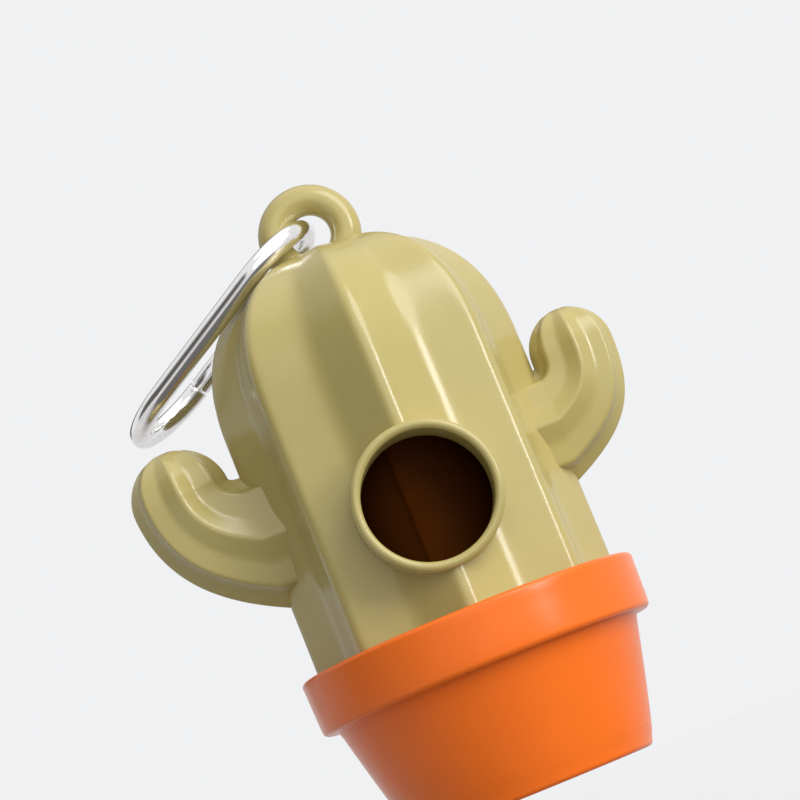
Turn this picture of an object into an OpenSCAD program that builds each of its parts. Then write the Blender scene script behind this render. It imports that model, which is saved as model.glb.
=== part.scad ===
// Cactus-in-a-pot dispenser for rolls of waste bags: ribbed shell, outlet collar,
// two ribbed arms, snap-on pot, bag roll on its core and a carabiner in the hang loop.
// Millimetres. Origin: centre of the pot's flat base. +Z up, -Y is the outlet side.

/* [Body] */
// Radius over the rib crests
body_r = 21.84; // [19:0.01:25]
// Number of ribs around the body
rib_count = 8; // [6:1:10]
// Sharp valley radius as a share of the crest radius
valley_ratio = 0.835; // [0.8:0.005:0.92]
// Height where the straight ribs end and the dome starts
dome_start = 59.7; // [55:0.1:64]
// Height of the top of the dome
dome_top = 81.15; // [76:0.05:86]
// Squareness of the dome's outline (2 is an ellipse)
dome_power = 2.43; // [2:0.01:3]
// Wall thickness of the shell at a rib crest
body_wall = 2.0; // [1.6:0.1:2.4]
// Thickness of the crown between the cavity and the top of the dome
crown = 5.25; // [4.5:0.05:8]

/* [Hang loop] */
// Height of the loop's centre above the top of the dome
loop_rise = 2.65; // [2:0.05:4]
// Radius of the loop's centre line
loop_ring_r = 5.12; // [4.8:0.01:6]
// Radius of the loop's round bar
loop_bar_r = 2.21; // [1.8:0.01:2.4]

/* [Outlet] */
// Height of the outlet's axis
outlet_z = 41.0; // [38:0.1:46]
// Radius of the outlet opening
outlet_r = 8.8; // [7:0.01:9.5]
// Wall thickness of the outlet collar
collar_wall = 1.36; // [1:0.01:1.6]
// How far the collar's lip stands out of the rib crests
collar_out = 1.16; // [0.6:0.01:3]
// Gap between the collar's inner end and the roll
collar_gap = 0.5; // [0.4:0.05:0.8]

/* [Pot] */
// Height of the rim's top edge
pot_h = 25.5; // [24:0.1:28]
// Height of the rim's lower edge
rim_z = 17.53; // [16:0.01:19]
// Rim radius at the top edge
rim_top_r = 24.44; // [24.2:0.01:28]
// Rim radius at the lower edge
rim_low_r = 24.15; // [23.6:0.01:27]
// Wall radius right under the rim
pot_wall_r = 22.0; // [21.5:0.1:23]
// Radius of the base
pot_base_r = 17.17; // [16.8:0.01:18.5]
// Wall thickness of the pot's lower half
pot_wall = 1.6; // [1.4:0.1:1.7]
// Thickness of the pot's floor
pot_floor = 2.2; // [1.6:0.1:2.4]
// Distance of the base's groove from the base's edge
groove_in = 4.17; // [3:0.01:5]
// Radius of the pot's bore around the neck
pot_bore_r = 18.55; // [18.5:0.05:18.8]

/* [Neck] */
// Inner radius of the neck
neck_in_r = 16.8; // [16.4:0.1:17]
// Gap between neck and pot bore
neck_gap = 0.15; // [0.1:0.05:0.3]
// Height of the neck's lower end
neck_low = 14.5; // [13:0.1:16]
// Depth of the flange's seat below the pot's rim
seat_depth = 1.6; // [1.3:0.1:2.1]
// Radius of the flange that closes the pot
flange_r = 22.3; // [22:0.1:23]
// Height of the snap bead
bead_z = 18; // [16.5:0.1:20]
// How far the snap bead stands out of the neck
bead_out = 0.1; // [0.05:0.01:0.12]

/* [Arms] */
// Distance of the arms' flat seat from the body axis
arm_seat = 18.0; // [17.7:0.1:18.2]
// Half thickness of an arm, front to back
arm_half = 5.2; // [4.6:0.1:5.6]
// Valley share of an arm's crest radius
arm_valley = 0.84; // [0.8:0.01:0.95]
// Left arm: lower edge of the root
left_low = 35.9; // [34:0.1:38]
// Left arm: upper edge of the root
left_high = 55.4; // [53:0.1:57]
// Left arm: largest distance from the body axis
left_reach = 37.4; // [34:0.1:40]
// Left arm: height of the tip
left_tip = 62.5; // [58:0.1:66]
// Left arm: radius of the tip
left_tip_r = 7.0; // [5:0.1:7.2]
// Left arm: outward lean of the tip, degrees
left_lean = 4; // [0:0.5:8]
// Right arm: lower edge of the root
right_low = 37.5; // [34:0.1:40]
// Right arm: upper edge of the root
right_high = 54.2; // [50:0.1:56]
// Right arm: largest distance from the body axis
right_reach = 34.1; // [32:0.1:38]
// Right arm: height of the tip
right_tip = 61.1; // [58:0.1:64]
// Right arm: radius of the tip
right_tip_r = 6.0; // [5:0.1:7]
// Right arm: outward lean of the tip, degrees
right_lean = 0; // [0:0.5:8]
// Upward slope of the arms' lower edge at the body, degrees
arm_slope = 25; // [10:1:35]
// Thickness of the pad that backs an arm's seat inside the shell
pad_wall = 1.2; // [1:0.1:1.2]
// Clearance of an arm's root in its pocket
arm_gap = 0.12; // [0.05:0.01:0.3]

/* [Bag roll] */
// Radius of the wound roll
roll_r = 15.6; // [14:0.1:15.9]
// Length of the wound roll
roll_len = 56.2; // [50:0.1:57]
// Inner radius of the roll's core
core_in_r = 6.3; // [6.2:0.1:6.6]
// Wall thickness of the roll's core
core_wall = 1.0; // [0.8:0.1:1.2]
// Radius of the pot's boss that centres the core
boss_r = 5.8; // [5.4:0.1:5.9]

/* [Carabiner] */
// Radius of the frame's wire
wire_r = 1.5; // [1.4:0.05:1.5]
// Width between the wire centres
link_width = 17.4; // [17:0.1:18.2]
// Length between the wire centres of the two bows
link_length = 37.75; // [36.5:0.05:39]
// Sideways place of the wire in the loop
hook_x = -0.8; // [-0.85:0.01:-0.75]
// Place of the wire in the loop, front to back
hook_y = -0.25; // [-0.35:0.01:-0.15]
// Height of the wire above the loop's centre
hook_up = 1.02; // [0.95:0.01:1.1]
// Angle of the hanging link below the horizontal
link_drop = 27.6; // [22:0.05:28]
// Turn of the hanging link about the vertical
link_yaw = -20.1; // [-22:0.05:-18]
// Roll of the hanging link about its own length
link_roll = -6.1; // [-6.5:0.05:-5]
// Place of the gate's pivot along the link, from the wire in the loop
pivot_at = 10.65; // [10.5:0.05:11.45]
// Length of the nose's tongue, from the shoulder of the wire
nose_len = 4.4; // [4:0.1:5]
// Gap between the gate's free end and the shoulder of the wire
nose_gap = 0.4; // [0.3:0.05:0.6]
// Radius of the gate's rod
gate_r = 1.45; // [1.35:0.05:1.5]
// Radius of the gate's pivot pin
pin_r = 0.5; // [0.45:0.05:0.5]
// Running clearance of the pivot pin in the frame's tongue
pin_gap = 0.05; // [0.02:0.01:0.09]
// Radius of the latch pin in the frame's nose
latch_r = 0.45; // [0.4:0.05:0.5]
// Thickness of the frame's flat tongues
tongue = 1.2; // [1:0.1:1.4]
// Gap beside the tongues
tongue_gap = 0.12; // [0.1:0.01:0.2]
// Radius of the cam at the end of the pivot tongue
cam_r = 1.2; // [1.15:0.01:1.25]
// How far the cam's centre lies off the pivot
cam_off = 0.35; // [0.25:0.01:0.4]
// Radius of the spring's bore in the gate
spring_bore_r = 0.95; // [0.9:0.01:1]

/* [Hidden] */
$fn = 48;
eps = 0.01;
half = 180 / rib_count;
neck_out_r = pot_bore_r - neck_gap;
cavity_top = dome_top - crown;
loop_z = dome_top + loop_rise;
hook_z = loop_z + hook_up;
flange_seat = pot_h - seat_depth;
collar_front = body_r + collar_out;
collar_back = roll_r + collar_gap;
collar_out_r = outlet_r + collar_wall;
groove_r = pot_base_r - groove_in;
core_out_r = core_in_r + core_wall;
roll_z = pot_floor + 0.5;
bow_r = link_width / 2;
far = link_length - bow_r;
tongue_end = far - nose_len;
gate_end = far - nose_gap;
latch_at = tongue_end + 0.9;
slot_to = pivot_at + 2.1;
spring_to = tongue_end - 1.8;
plunger_at = slot_to + 2.4;
pivot_pad = cam_r + 0.45;

cactus_green = [0.70, 0.64, 0.42];
pot_orange = [0.93, 0.42, 0.16];

// Ribbed section: flat faces between crest and valley, both rounded. t is 0 on a crest, 1 in a valley.
function rib(t, v, h, crest, valley) =
    let(line = v * sin(h) / (sin(t * h) + v * sin(h - t * h)),
        rad = h * PI / 180,
        cut = rad * (1 - v * cos(h)) / (v * sin(h)) * crest / 2,
        fill = rad * v * (cos(h) - v) / sin(h) * valley / 2)
    (line - cut * pow(max(0, 1 - t / crest), 2) + fill * pow(max(0, 1 - (1 - t) / valley), 2)) / (1 - cut);

// Faces that join consecutive closed rings of m points, from ring a to ring b.
function skin(m, a, b) =
    [for (k = [a : b - 1], i = [0 : m - 1])
        let(p = k * m + i, q = k * m + (i + 1) % m)
        each [[p, q, q + m], [p, q + m, p + m]]];
// Fan from ring k to one point.
function fan(m, k, tip, up) =
    [for (i = [0 : m - 1])
        let(p = k * m + i, q = k * m + (i + 1) % m)
        up ? [p, q, tip] : [q, p, tip]];

/* Body shell */
body_steps = [-0.89, -0.78, -0.13, -0.06, 0, 0.06, 0.13, 0.78, 0.89, 1];
body_m = len(body_steps) * rib_count;
function body_ring(z, r) =
    [for (k = [0 : rib_count - 1], t = body_steps)
        let(a = -90 + (2 * k + t) * half, s = r * rib(abs(t), valley_ratio, half, 0.13, 0.22))
        [s * cos(a), s * sin(a), z]];
dome_n = 13;
function dome_z(q, low, top) = low + (top - low) * pow(sin(90 * q), 2 / dome_power);
function dome_r(q) = pow(cos(90 * q), 2 / dome_power);

module ribbed_shell() {
    low = flange_seat + 0.8;
    in_r = body_r - body_wall;
    in_start = dome_start - 1;
    outer = concat(body_ring(low, body_r),
        [for (k = [0 : dome_n - 1]) each body_ring(dome_z(k / dome_n, dome_start, dome_top), body_r * dome_r(k / dome_n))]);
    inner = concat(
        [for (k = [dome_n - 1 : -1 : 0]) each body_ring(dome_z(k / dome_n, in_start, cavity_top), in_r * dome_r(k / dome_n))],
        body_ring(low, in_r));
    n = dome_n + 1;
    m = body_m;
    points = concat(outer, inner, [[0, 0, dome_top], [0, 0, cavity_top]]);
    top = 2 * n * m;
    foot = [for (i = [0 : m - 1])
        let(j = (i + 1) % m, p = (2 * n - 1) * m)
        each [[p + i, p + j, j], [p + i, j, i]]];
    faces = concat(skin(m, 0, n - 1), fan(m, n - 1, top, true), fan(m, n, top + 1, false),
        skin(m, n, 2 * n - 1), foot);
    polyhedron(points, [for (f = faces) [f[2], f[1], f[0]]]);
}

module hang_loop() {
    translate([0, 0, loop_z])
        rotate([90, 0, 0])
            rotate_extrude()
                translate([loop_ring_r, 0])
                    circle(loop_bar_r);
}

module neck() {
    rotate_extrude()
        polygon([[neck_in_r, neck_low], [neck_out_r - 0.5, neck_low], [neck_out_r, neck_low + 1],
            [neck_out_r, flange_seat], [flange_r, flange_seat], [flange_r, pot_h - 0.5],
            [flange_r - 0.3, pot_h - 0.2], [neck_in_r, pot_h - 0.2]]);
    rotate_extrude()
        translate([neck_out_r + bead_out - 0.5, bead_z])
            circle(0.5);
}

module cactus_body() {
    color(cactus_green)
        difference() {
            union() {
                ribbed_shell();
                hang_loop();
                neck();
                arm_pad(1, right_low, right_high);
                arm_pad(-1, left_low, left_high);
            }
            translate([0, 0, outlet_z])
                rotate([90, 0, 0])
                    cylinder(r = collar_out_r + 0.05, h = body_r + 2);
            arm_pocket(1, right_low, right_high);
            arm_pocket(-1, left_low, left_high);
        }
}

module outlet_collar() {
    lip = collar_wall / 2;
    color(cactus_green)
        translate([0, 0, outlet_z])
            rotate([90, 0, 0])
                rotate_extrude() {
                    translate([outlet_r, collar_back])
                        square([collar_wall, collar_front - lip - collar_back]);
                    translate([outlet_r + lip, collar_front - lip])
                        circle(lip);
                }
}

/* Arms: each station joins a point of the upper edge to one of the lower, outer edge. */
arm_steps = [-0.8, -0.14, 0, 0.14, 0.8, 1];
arm_m = len(arm_steps) * 8;
function arm_ring(top, low, b) =
    [for (k = [0 : 7], t = arm_steps)
        let(a = (2 * k + t) * 22.5, s = rib(abs(t), arm_valley, 22.5, 0.14, 0.2), c = (top + low) / 2, d = (top - low) / 2)
        [c[0] + d[0] * s * cos(a), b * s * sin(a), c[1] + d[1] * s * cos(a)]];
function bez(p, q, r, s, t) =
    p * pow(1 - t, 3) + q * 3 * t * pow(1 - t, 2) + r * 3 * t * t * (1 - t) + s * pow(t, 3);
arm_n = 11;
tip_n = 6;

module arm(low, high, reach, tip, tip_r, lean) {
    c = [reach - tip_r, tip - tip_r];
    across = tip_r * [cos(lean), -sin(lean)];
    along = tip_r * [sin(lean), cos(lean)];
    p0 = [body_r, low];
    p3 = c + across;
    q0 = [body_r + 0.2, high];
    q3 = c - across;
    p1 = p0 + 10.5 * [cos(arm_slope), sin(arm_slope)];
    p2 = p3 - 9 / tip_r * along;
    q1 = q0 + [0.6 * (q3[0] - q0[0]), 0];
    q2 = q3 - 0.6 * (q3[1] - q0[1]) / tip_r * along;
    stub = arm_ring([arm_seat, high], [arm_seat, low], arm_half);
    bend = [for (k = [0 : arm_n])
        let(t = k / arm_n)
        each arm_ring(bez(q0, q1, q2, q3, t), bez(p0, p1, p2, p3, t), arm_half + (tip_r * 0.87 - arm_half) * t * t)];
    cap = [for (k = [1 : tip_n - 1])
        let(a = 90 * k / tip_n)
        each arm_ring(c + along * sin(a) - across * cos(a), c + along * sin(a) + across * cos(a), tip_r * 0.87 * cos(a))];
    n = arm_n + tip_n + 1;
    m = arm_m;
    pole = c + along;
    points = concat(stub, bend, cap, [[pole[0], 0, pole[1]], [arm_seat, 0, (low + high) / 2]]);
    faces = concat(skin(m, 0, n - 1), fan(m, n - 1, n * m, true), fan(m, 0, n * m + 1, false));
    polyhedron(points, faces);
}

module arm_pocket(side, low, high) {
    profile = [for (p = arm_ring([0, high + arm_gap], [0, low - arm_gap], arm_half + arm_gap)) [p[2], p[1]]];
    translate([side > 0 ? arm_seat : -arm_seat - 8, 0, 0])
        rotate([0, 90, 0])
            mirror([1, 0, 0])
                linear_extrude(8)
                    polygon(profile);
}

module arm_pad(side, low, high) {
    face = side * (arm_seat - pad_wall);
    translate([0, 0, low - 1])
        linear_extrude(high - low + 2)
            polygon([[face, -arm_half - 0.4], [side * (body_r - 1), 0], [face, arm_half + 0.4]]);
}

module arm_right() {
    color(cactus_green)
        arm(right_low, right_high, right_reach, right_tip, right_tip_r, right_lean);
}

module arm_left() {
    color(cactus_green)
        mirror([1, 0, 0])
            arm(left_low, left_high, left_reach, left_tip, left_tip_r, left_lean);
}

/* Pot */
function pot_out(z) = pot_base_r + (pot_wall_r - pot_base_r) * pow(z / rim_z, 0.88);

module pot() {
    steps = 10;
    bore_low = 10;
    wall = [for (k = [1 : steps]) [pot_out(rim_z * k / steps), rim_z * k / steps]];
    inside = [for (k = [4 : -1 : 0])
        let(z = pot_floor + (bore_low - pot_floor) * k / 4)
        [min(pot_out(z) - pot_wall, pot_bore_r), z]];
    edge = 0.8;
    foot = [for (k = [0 : 3]) [pot_out(0.6) - edge + edge * sin(30 * k), edge - edge * cos(30 * k)]];
    low_edge = [for (k = [0 : 3]) [rim_low_r - edge + edge * sin(30 * k), rim_z + edge - edge * cos(30 * k)]];
    top_edge = [for (k = [0 : 3]) [rim_top_r - edge + edge * cos(30 * k), pot_h - edge + edge * sin(30 * k)]];
    color(pot_orange) {
        difference() {
            rotate_extrude()
                polygon(concat([[0, 0]], foot, wall, low_edge, top_edge,
                    [[flange_r + 0.65, pot_h], [flange_r + 0.15, pot_h - 0.5], [flange_r + 0.15, flange_seat],
                     [pot_bore_r, flange_seat]],
                    inside, [[0, pot_floor]]));
            rotate_extrude()
                translate([neck_out_r + bead_out - 0.5, bead_z])
                    circle(0.7);
            rotate_extrude()
                translate([groove_r, 0])
                    polygon([[-0.8, -1], [0.8, -1], [0.8, 0.3], [0.5, 0.6], [-0.5, 0.6], [-0.8, 0.3]]);
        }
        rotate_extrude()
            polygon([[boss_r - 1.4, pot_floor - 0.2], [boss_r, pot_floor - 0.2], [boss_r, pot_floor + 6],
                [boss_r - 0.9, pot_floor + 7.5], [boss_r - 1.4, pot_floor + 7.5]]);
    }
}

/* Bag roll */
module roll_core() {
    color([0.62, 0.49, 0.34])
        translate([0, 0, pot_floor + 0.3])
            difference() {
                cylinder(r = core_out_r, h = roll_len + 0.4);
                translate([0, 0, -1])
                    cylinder(r = core_in_r, h = roll_len + 3);
            }
}

module bag_roll() {
    color([0.09, 0.07, 0.06])
        rotate_extrude()
            polygon([[core_out_r, roll_z], [roll_r - 0.6, roll_z], [roll_r, roll_z + 0.6],
                [roll_r, roll_z + roll_len - 0.6], [roll_r - 0.6, roll_z + roll_len],
                [core_out_r, roll_z + roll_len]]);
}

/* Carabiner, drawn flat with the wire in the loop at the origin, the link along +X, the gate at +Y */
module hung() {
    translate([hook_x, hook_y, hook_z])
        rotate([0, 0, link_yaw])
            rotate([0, 180 - link_drop, 0])
                rotate([link_roll, 0, 0])
                    children();
}

module rod(y, r, from, to) {
    translate([from, y, 0])
        rotate([0, 90, 0])
            cylinder(r = r, h = to - from);
}

module bow(from, at) {
    translate([at, 0, 0])
        rotate([0, 0, from])
            rotate_extrude(angle = 180)
                translate([bow_r, 0])
                    circle(wire_r);
}

module slab(from, to, y, half_width, t) {
    translate([from, y - half_width, -t / 2])
        cube([to - from, 2 * half_width, t]);
}

module carabiner_frame() {
    stub = pivot_at - pivot_pad;
    color([0.80, 0.81, 0.83])
        hung()
            difference() {
                union() {
                    bow(90, bow_r);
                    bow(-90, far);
                    rod(-bow_r, wire_r, bow_r, far);
                    rod(bow_r, wire_r, bow_r, stub);
                    slab(stub - 0.5, pivot_at, bow_r, 1.1, tongue);
                    translate([pivot_at, bow_r - cam_off, -tongue / 2])
                        cylinder(r = cam_r, h = tongue);
                    slab(tongue_end, far + 0.5, bow_r, 1, tongue);
                }
                translate([pivot_at, bow_r, -2])
                    cylinder(r = pin_r + pin_gap, h = 4);
                translate([latch_at, bow_r, -2])
                    cylinder(r = latch_r, h = 4);
            }
}

module carabiner_gate() {
    ear = gate_r - 0.07;
    slot = tongue + 2 * tongue_gap;
    color([0.78, 0.79, 0.81])
        hung()
            difference() {
                intersection() {
                    rod(bow_r, gate_r, pivot_at - 2, gate_end);
                    union() {
                        slab(pivot_at, gate_end + 1, bow_r, 3, 6);
                        translate([pivot_at, bow_r, -3])
                            cylinder(r = ear, h = 6);
                    }
                }
                slab(pivot_at - 3, slot_to, bow_r, 3, slot);
                slab(tongue_end - 1, gate_end + 1, bow_r, 3, slot);
                slab(latch_at - 0.9, latch_at + latch_r + 0.15, bow_r + 1.85, 2.45, 6);
                rod(bow_r, spring_bore_r, slot_to - 1, spring_to);
                translate([pivot_at, bow_r, -3])
                    cylinder(r = pin_r, h = 6);
            }
}

module gate_pin() {
    color([0.66, 0.67, 0.69])
        hung()
            translate([pivot_at, bow_r, -1.34])
                cylinder(r = pin_r, h = 2.68);
}

module latch_pin() {
    color([0.66, 0.67, 0.69])
        hung()
            translate([latch_at, bow_r, -1.3])
                cylinder(r = latch_r, h = 2.6);
}

module gate_spring() {
    turns = 7;
    seg = 12;
    coil_r = spring_bore_r - 0.3;
    thick = 0.16;
    a = plunger_at + thick + 0.25;
    b = spring_to - thick - 0.02;
    n = turns * seg;
    m = 5;
    points = [for (k = [0 : n], i = [0 : m - 1])
        let(t = 360 * k / seg, r = coil_r + thick * cos(360 * i / m))
        [a + (b - a) * k / n + thick * sin(360 * i / m), bow_r + r * cos(t), r * sin(t)]];
    faces = concat(skin(m, 0, n), [[for (i = [0 : m - 1]) m - 1 - i]], [[for (i = [0 : m - 1]) n * m + i]]);
    color([0.60, 0.60, 0.62])
        hung()
            polyhedron(points, [for (f = faces) [for (i = [len(f) - 1 : -1 : 0]) f[i]]]);
}

module spring_plunger() {
    rest = sqrt(cam_r * cam_r - cam_off * cam_off);
    color([0.60, 0.60, 0.62])
        hung() {
            rod(bow_r, spring_bore_r - 0.1, plunger_at - 0.6, plunger_at);
            rod(bow_r, 0.45, pivot_at + rest + 0.05, plunger_at);
        }
}

cactus_body();
outlet_collar();
arm_left();
arm_right();
pot();
roll_core();
bag_roll();
carabiner_frame();
carabiner_gate();
gate_pin();
latch_pin();
gate_spring();
spring_plunger();
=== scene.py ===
import math

import bmesh
import bpy
from bpy.props import FloatProperty, FloatVectorProperty, IntProperty, PointerProperty
from mathutils import Matrix, Vector


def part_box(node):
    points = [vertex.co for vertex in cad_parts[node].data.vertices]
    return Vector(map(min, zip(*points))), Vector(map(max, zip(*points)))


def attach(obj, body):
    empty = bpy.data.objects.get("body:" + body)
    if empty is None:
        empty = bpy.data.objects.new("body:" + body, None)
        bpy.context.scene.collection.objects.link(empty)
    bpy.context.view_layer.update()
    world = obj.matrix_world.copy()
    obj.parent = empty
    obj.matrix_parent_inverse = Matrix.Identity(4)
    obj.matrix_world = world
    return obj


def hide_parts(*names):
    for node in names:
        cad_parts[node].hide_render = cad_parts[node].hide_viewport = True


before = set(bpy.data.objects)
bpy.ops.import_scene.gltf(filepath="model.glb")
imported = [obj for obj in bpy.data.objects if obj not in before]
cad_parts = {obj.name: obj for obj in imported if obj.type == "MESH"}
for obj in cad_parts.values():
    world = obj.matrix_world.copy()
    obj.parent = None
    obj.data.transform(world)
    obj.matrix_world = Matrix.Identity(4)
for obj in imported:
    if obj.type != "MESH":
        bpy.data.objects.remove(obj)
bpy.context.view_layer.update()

bl_info = {
    "name": "Cactus bag dispenser",
    "version": (1, 0, 0),
    "blender": (4, 5, 0),
    "location": "View3D > Sidebar > Dispenser",
    "description": "Mouldings, film roll and wire link of a cactus-shaped dispenser for waste bags",
    "category": "Object",
}

MM = 0.001
POT_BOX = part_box("pot")
LEFT_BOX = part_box("arm_left")
RIGHT_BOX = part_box("arm_right")
ROLL_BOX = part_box("bag_roll")
COLLAR_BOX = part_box("outlet_collar")
SNAP_Z = 18 * MM  # height of the snap between the neck and the pot
AXIS_GAP = 0.02 * MM  # how near the pot's turned profile comes to the axis
FLOOR_DEPTH = 66.2 * MM  # the pot's travel of 66 mm, and a little air


def length(label, text, value):
    return FloatProperty(name=label, description=text, default=value, unit="LENGTH", precision=5)


def angle(label, text, degrees):
    return FloatProperty(name=label, description=text, default=math.radians(degrees), subtype="ANGLE")


def number(label, text, value):
    return FloatProperty(name=label, description=text, default=value)


def colour(label, text, value):
    return FloatVectorProperty(
        name=label, description=text, default=value, subtype="COLOR", size=3, min=0, max=1)


class ShellSizes(bpy.types.PropertyGroup):
    crest_radius: length("Crest radius", "Radius of the body over the rib crests", 21.84 * MM)
    ribs: IntProperty(name="Ribs", description="Number of ribs around the body", default=8, min=5, max=12)
    valley: number("Valley share", "Valley radius as a share of the crest radius", 0.835)
    low: length("Lower edge", "Height where the ribbed wall leaves the flange", 24.7 * MM)
    dome_start: length("Dome start", "Height where the straight ribs end", 59.7 * MM)
    dome_top: length("Dome top", "Height of the top of the dome", 81.15 * MM)
    dome_power: number("Dome power", "Squareness of the dome's outline", 2.43)
    wall: length("Wall", "Thickness of the ribbed wall", 2.0 * MM)
    loop_z: length("Loop height", "Height of the hang loop's centre", 83.8 * MM)
    loop_ring: length("Loop ring", "Radius of the hang loop's centre line", 5.12 * MM)
    loop_bar: length("Loop bar", "Radius of the hang loop's round bar", 2.21 * MM)
    neck_in: length("Neck bore", "Inner radius of the neck", 16.8 * MM)
    neck_out: length("Neck radius", "Outer radius of the neck", 18.4 * MM)
    neck_low: length("Neck end", "Height of the neck's lower end", 14.5 * MM)
    flange: length("Flange radius", "Radius of the flange that closes the pot", 22.3 * MM)
    flange_seat: length("Flange seat", "Height of the flange's underside", 23.9 * MM)


class OutletSizes(bpy.types.PropertyGroup):
    z: length("Height", "Height of the outlet's axis", 41.0 * MM)
    radius: length("Opening", "Radius of the outlet opening", 8.8 * MM)
    wall: length("Collar wall", "Wall thickness of the collar", 1.36 * MM)
    front: length("Lip", "Distance of the lip from the body axis", -COLLAR_BOX[0].y)
    back: length("Inner end", "Distance of the collar's inner end from the body axis", -COLLAR_BOX[1].y)


class ArmSizes(bpy.types.PropertyGroup):
    seat: length("Seat", "Distance of the arms' seat from the body axis", RIGHT_BOX[0].x)
    half: length("Half thickness", "Half thickness of an arm, front to back", 5.2 * MM)
    valley: number("Valley share", "Valley share of an arm's crest radius", 0.84)
    slope: angle("Slope", "Upward slope of the lower edge at the body", 25)
    left_low: length("Left root, low", "Lower edge of the left arm's root", 35.9 * MM)
    left_high: length("Left root, high", "Upper edge of the left arm's root", 55.4 * MM)
    left_tip_radius: length("Left tip", "Radius of the left arm's tip", 7.0 * MM)
    left_lean: angle("Left lean", "Outward lean of the left tip", 4)
    right_low: length("Right root, low", "Lower edge of the right arm's root", 37.5 * MM)
    right_high: length("Right root, high", "Upper edge of the right arm's root", 54.2 * MM)
    right_tip_radius: length("Right tip", "Radius of the right arm's tip", 6.0 * MM)
    right_lean: angle("Right lean", "Outward lean of the right tip", 0)


class PotSizes(bpy.types.PropertyGroup):
    height: length("Height", "Height of the rim's top edge", POT_BOX[1].z)
    rim_low: length("Rim edge", "Height of the rim's lower edge", 17.53 * MM)
    rim_top_radius: length("Rim radius, top", "Rim radius at the top edge", POT_BOX[1].x)
    rim_low_radius: length("Rim radius, low", "Rim radius at the lower edge", 24.15 * MM)
    wall_radius: length("Wall radius", "Wall radius right under the rim", 22.0 * MM)
    base_radius: length("Base radius", "Radius of the base", 17.17 * MM)
    wall: length("Wall", "Wall thickness of the lower half", 1.6 * MM)
    floor: length("Floor", "Thickness of the pot's floor", 2.2 * MM)
    bore: length("Bore", "Radius of the bore around the neck", 18.55 * MM)
    boss: length("Boss", "Radius of the boss that centres the core", 5.8 * MM)


class RollSizes(bpy.types.PropertyGroup):
    radius: length("Radius", "Radius of the wound roll", ROLL_BOX[1].x)
    core: length("Core radius", "Outer radius of the card core", 7.3 * MM)
    core_bore: length("Core bore", "Inner radius of the card core", 6.3 * MM)
    low: length("Lower end", "Height of the roll's lower end", ROLL_BOX[0].z)
    high: length("Upper end", "Height of the roll's upper end", ROLL_BOX[1].z)
    film_end: angle("Film end", "Where the film's loose end lies around the roll", -99.3)


class LinkSizes(bpy.types.PropertyGroup):
    wire: length("Wire radius", "Radius of the frame's wire", 1.5 * MM)
    width: length("Width", "Width between the wire centres", 17.4 * MM)
    length: length("Length", "Length between the wire centres of the two bows", 37.75 * MM)
    hook_x: length("Hook, sideways", "Sideways place of the wire in the loop", -0.8 * MM)
    hook_y: length("Hook, front to back", "Place of the wire in the loop, front to back", -0.25 * MM)
    hook_z: length("Hook, height", "Height of the wire in the loop", 84.82 * MM)
    drop: angle("Drop", "Angle of the link below the horizontal", 27.6)
    yaw: angle("Yaw", "Turn of the link about the vertical", -20.1)
    roll: angle("Roll", "Roll of the link about its own length", -6.1)
    pivot: length("Pivot", "Place of the gate's pivot along the link", 10.65 * MM)
    nose: length("Nose", "Length of the nose's tongue from the shoulder of the wire", 4.4 * MM)
    tongue: length("Tongue", "Thickness of the flat tongues", 1.2 * MM)
    cam: length("Cam radius", "Radius of the cam at the pivot tongue", 1.2 * MM)
    cam_off: length("Cam offset", "How far the cam's centre lies off the pivot", 0.35 * MM)


class Finishes(bpy.types.PropertyGroup):
    cactus: colour("Cactus", "Colour of the cactus mouldings", (0.492, 0.41, 0.15))
    pot: colour("Pot", "Colour of the pot", (0.93, 0.172, 0.013))
    # the film is dark; its brown tint is painted light, the orange glow of the pot inside the shaded
    # outlet
    film: colour("Film", "Colour of the bag film", (0.043, 0.0105, 0.0003))
    card: colour("Card", "Colour of the core's card", (0.42, 0.27, 0.14))
    plate: colour("Plate", "Colour of the plated wire", (0.90, 0.885, 0.875))
    steel: colour("Steel", "Colour of pins and spring", (0.55, 0.55, 0.56))
    backdrop: colour("Backdrop", "Colour of the pale surroundings", (0.875, 0.88, 0.89))


# ---------------------------------------------------------------- shader maths


class Sock:
    """An output socket that can be added, subtracted and multiplied, which adds Math nodes."""

    def __init__(self, finish, socket):
        self.finish = finish
        self.socket = socket

    def maths(self, operation, first, second):
        return self.finish.add("ShaderNodeMath", {"operation": operation}, {0: first, 1: second})

    def __add__(self, other):
        return self.maths("ADD", self, other)

    def __sub__(self, other):
        return self.maths("SUBTRACT", self, other)

    def __rsub__(self, other):
        return self.maths("SUBTRACT", other, self)

    def __mul__(self, other):
        return self.maths("MULTIPLY", self, other)

    def __or__(self, other):
        """The greater of two masks."""
        return self.maths("MAXIMUM", self, other)

    __radd__ = __add__
    __rmul__ = __mul__


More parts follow.
